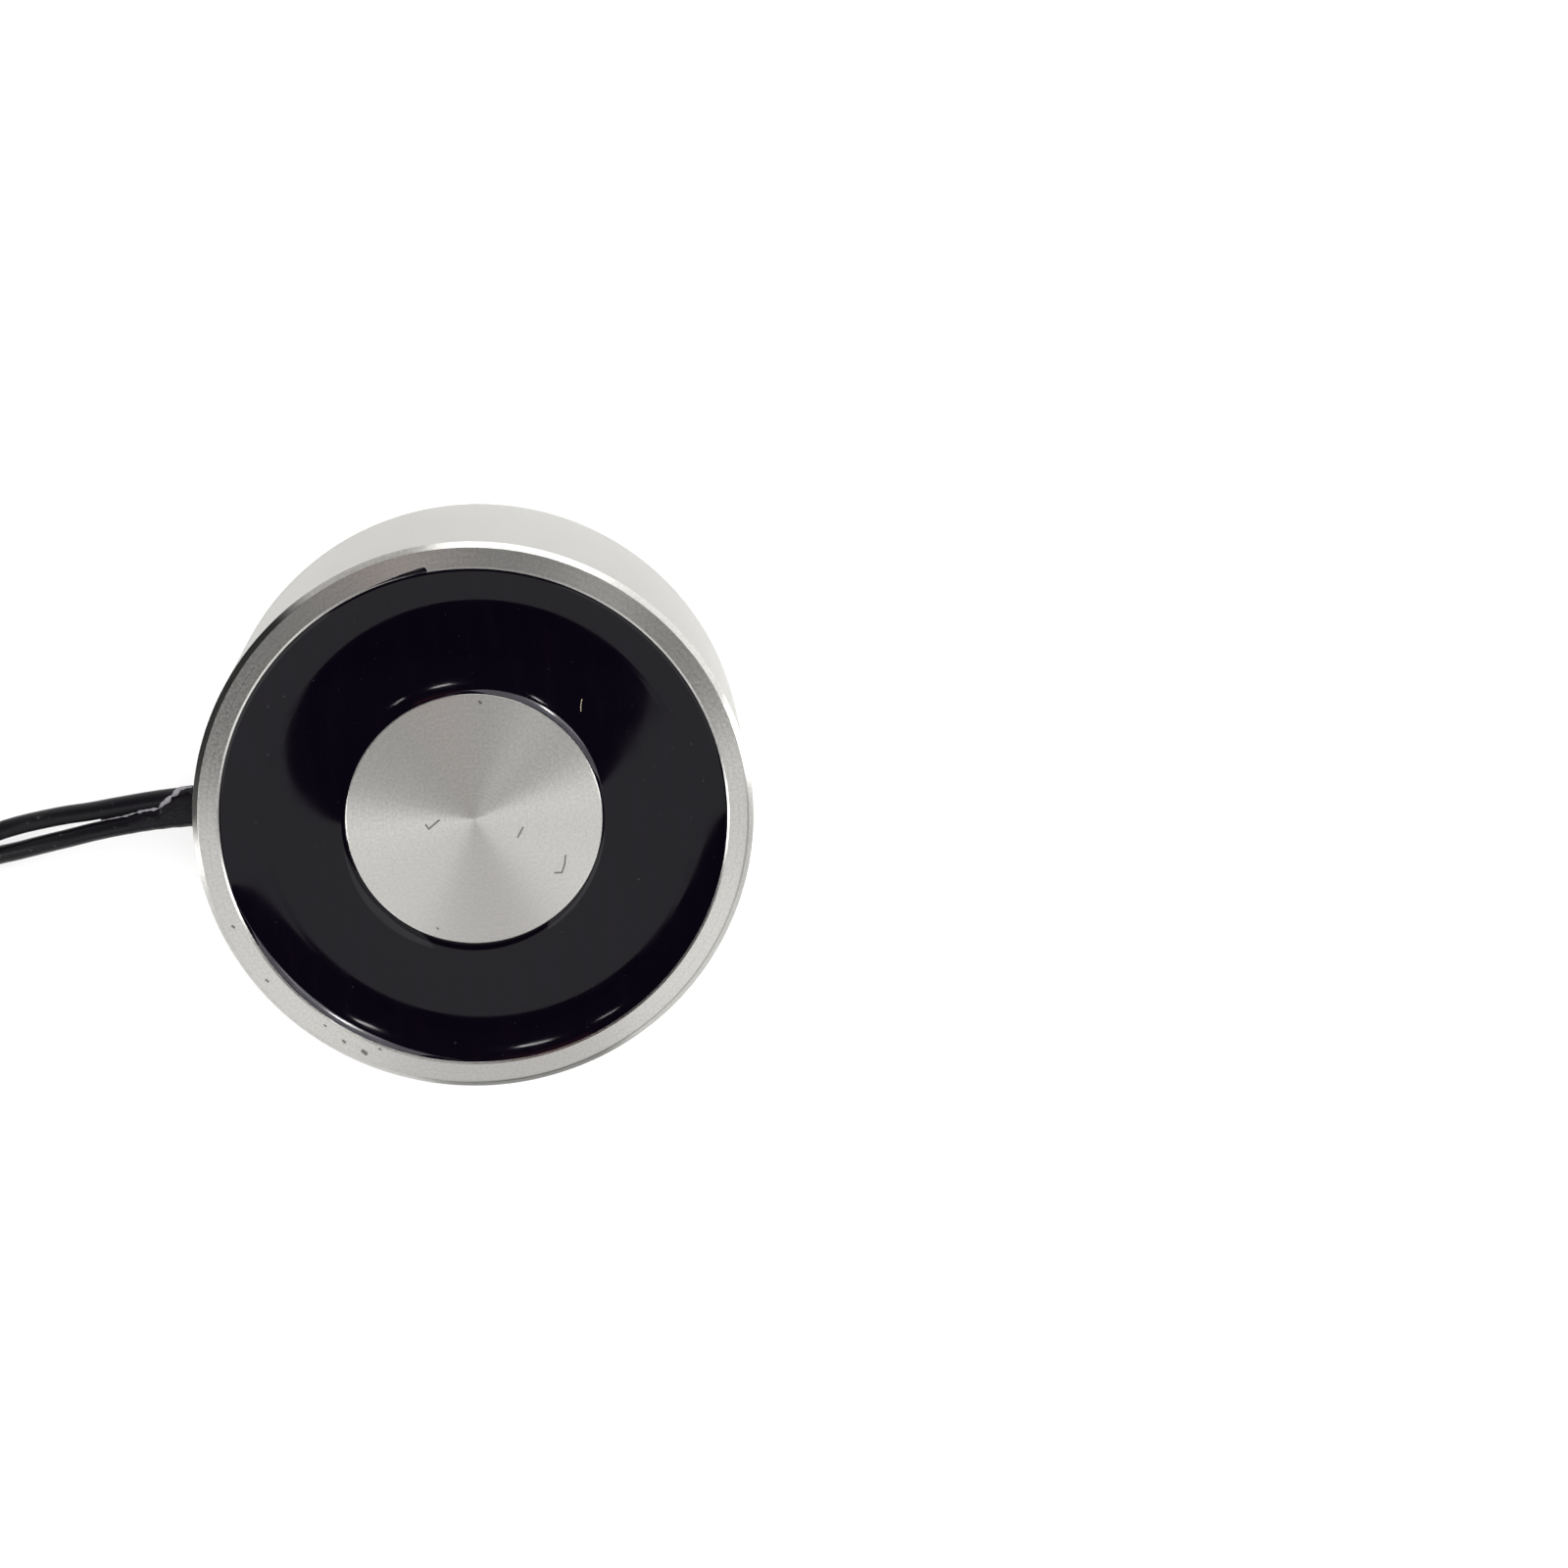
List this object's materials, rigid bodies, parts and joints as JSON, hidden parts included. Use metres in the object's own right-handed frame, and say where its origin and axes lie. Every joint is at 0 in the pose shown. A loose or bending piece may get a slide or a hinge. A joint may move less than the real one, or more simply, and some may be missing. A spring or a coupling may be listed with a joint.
{
  "type": "holding electromagnet",
  "caption": "Round pot holding electromagnet with a turned steel body, a potted coil around its centre pole, a threaded mounting hole in the back and free leads at the side.",
  "frame": {"origin": "centre of the mounting face, which the magnet stands on", "axes": "+Z along the magnet's axis from the mounting face to the holding face; the leads leave towards -X"},
  "size_m": [0.0824, 0.04, 0.02],
  "materials": {
    "steel": "turned and nickel plated low-carbon steel",
    "potting": "glossy black epoxy",
    "sealant": "black sealant with torn edges",
    "lead": "black insulation",
    "bobbin": "moulded nylon",
    "copper": "enamelled copper wire",
    "tape": "amber film tape",
    "solder": "solder",
    "sleeve": "shrunk tube",
    "tie": "white plastic band"
  },
  "bodies": {
    "root": {"magnet_body": "steel", "coil_bobbin": "bobbin", "coil_winding": "copper", "coil_tape": "tape", "coil_start_tail": "copper", "coil_finish_tail": "copper", "solder_joint_start": "solder", "solder_joint_finish": "solder", "joint_sleeve_start": "sleeve", "joint_sleeve_finish": "sleeve", "potting_compound": "potting", "lead_exit_seal": "sealant", "lead_a": "lead", "lead_b": "lead", "lead_coil": "lead", "lead_tie": "tie", "lead_a_tinned_end": "solder", "lead_b_tinned_end": "solder"}
  },
  "joints": []
}
